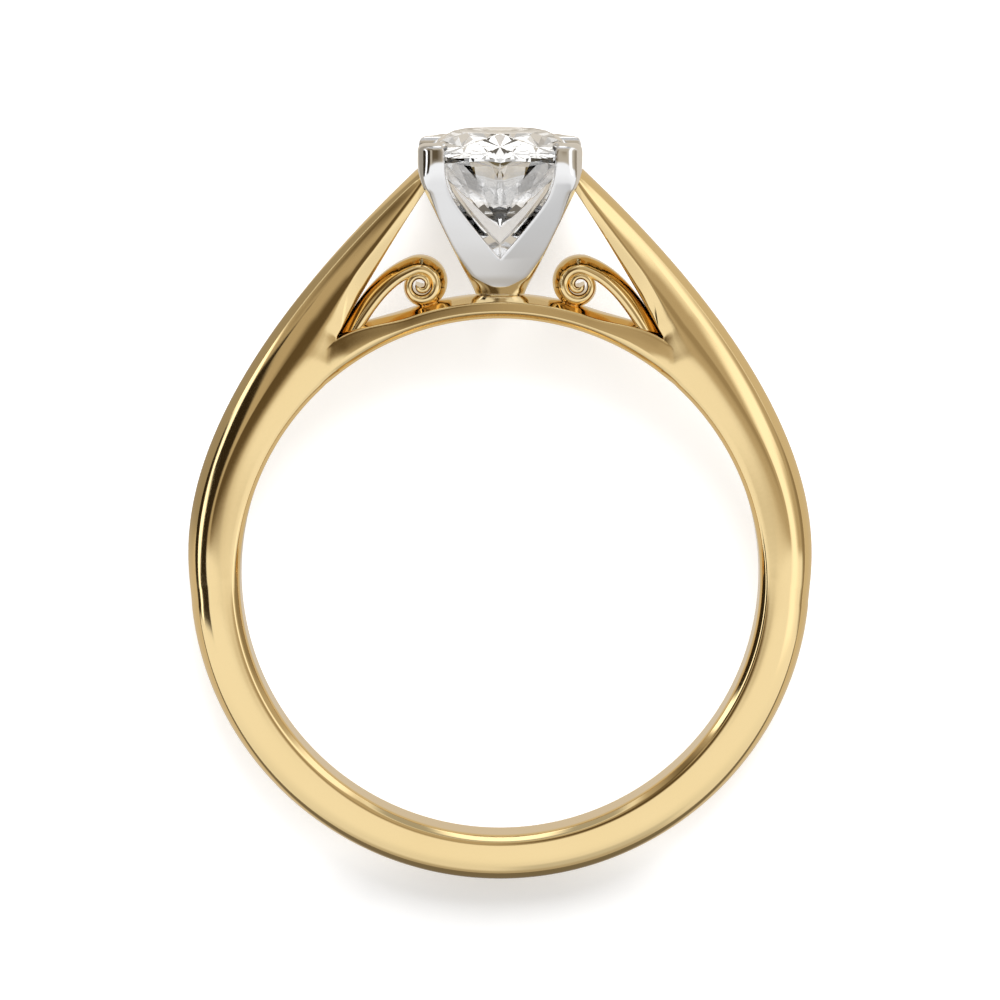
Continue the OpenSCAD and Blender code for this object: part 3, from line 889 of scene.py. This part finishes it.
def makeSky():
    world = bpy.data.worlds.new("studioSky")
    bpy.context.scene.world = world
    world.use_nodes = True
    tree = world.node_tree
    tree.nodes.clear()
    place = addNode(tree, "ShaderNodeTexCoord")
    turned = addNode(tree, "ShaderNodeMapping", {"vector_type": "POINT"},
                     {"Vector": place.outputs["Generated"], "Rotation": (-lean, 0, 0)})
    axes = addNode(tree, "ShaderNodeSeparateXYZ", None, {"Vector": turned.outputs["Vector"]})

    def edge(axis, start, end):
        step = addNode(tree, "ShaderNodeMapRange", {"interpolation_type": "SMOOTHSTEP"},
                       {"Value": axes.outputs[axis], "From Min": start, "From Max": end})
        return step.outputs["Result"]

    def times(a, b):
        return addNode(tree, "ShaderNodeMath", {"operation": "MULTIPLY"}, {0: a, 1: b}).outputs["Value"]

    shown = [studio["roomLight"]] * 3 + [1]
    for value, tint, across, up, out, soft in paintedReflectionPanels:
        mask = 1.0
        for axis, (low, high) in (("X", across), ("Y", up), ("Z", out)):
            if low > -1.5:
                mask = times(edge(axis, low - soft, low + soft), mask)
            if high < 1.5:
                mask = times(edge(axis, high + soft, high - soft), mask)
        panel = [value * channel for channel in linear(tint)[:3]] + [1]
        shown = addNode(tree, "ShaderNodeMix", {"data_type": "RGBA"},
                        {"Factor": mask, "A": shown, "B": panel}).outputs["Result"]
    paintedMirror = addNode(tree, "ShaderNodeBackground", None, {"Color": shown, "Strength": 1.0})
    plain = addNode(tree, "ShaderNodeBackground", None,
                    {"Color": (1, 1, 1, 1), "Strength": studio["floorLight"]})
    # the camera and the diffuse light see a plain white sky; other rays see the painted panels
    rays = addNode(tree, "ShaderNodeLightPath")
    even = addNode(tree, "ShaderNodeMath", {"operation": "MAXIMUM"},
                   {0: rays.outputs["Is Diffuse Ray"], 1: rays.outputs["Is Camera Ray"]})
    chosen = addNode(tree, "ShaderNodeMixShader", None,
                     {0: even.outputs["Value"], 1: paintedMirror.outputs["Background"],
                      2: plain.outputs["Background"]})
    wash = addNode(tree, "ShaderNodeBackground", None,
                   {"Color": (1, 1, 1, 1), "Strength": studio["stoneLight"]})
    through = addNode(tree, "ShaderNodeMath", {"operation": "MULTIPLY"},
                      {0: rays.outputs["Is Transmission Ray"], 1: studio["stoneWash"]})
    chosen = addNode(tree, "ShaderNodeMixShader", None,
                     {0: through.outputs["Value"], 1: chosen.outputs["Shader"],
                      2: wash.outputs["Background"]})
    addNode(tree, "ShaderNodeOutputWorld", None, {"Surface": chosen.outputs["Shader"]})


def addSoftbox():
    light = bpy.data.lights.new("overheadSoftbox", "AREA")
    light.shape = "DISK"
    light.size = studio["keySize"]
    light.energy = studio["keyPower"]
    lamp = bpy.data.objects.new("overheadSoftbox", light)
    spot = toRow @ Vector(studio["keySpot"])
    lamp.location = spot
    lamp.rotation_euler = (-spot).to_track_quat("-Z", "Y").to_euler()
    lamp.visible_glossy = False  # its reflection in the metal is painted by the panels
    lamp.visible_transmission = False
    bpy.context.scene.collection.objects.link(lamp)


# Camera: in front of the finger hole and a little above it, as in the photograph
shot = {
    "spot": (0, 25.55, 200),
    "tilt": 6.6,
    "halfFrame": 500,  # pixels, and the focal length in the same pixels
    "focal": 6334.2,
    "sensor": 36,
}


def makeCamera():
    data = bpy.data.cameras.new("shotCamera")
    data.sensor_width = shot["sensor"]
    data.lens = shot["sensor"] / 2 * shot["focal"] / shot["halfFrame"]
    data.clip_start = 0.005
    camera = bpy.data.objects.new("shotCamera", data)
    spot = toRow @ Vector(shot["spot"])
    camera.matrix_world = (Matrix.Translation(spot) @ Matrix.Rotation(lean, 4, "X")
                           @ Matrix.Rotation(-math.radians(shot["tilt"]), 4, "X"))
    bpy.context.scene.collection.objects.link(camera)
    bpy.context.scene.camera = camera


makeFloor()
makeSky()
addSoftbox()
makeCamera()
bpy.context.scene.view_settings.view_transform = "Standard"
print("studio set")
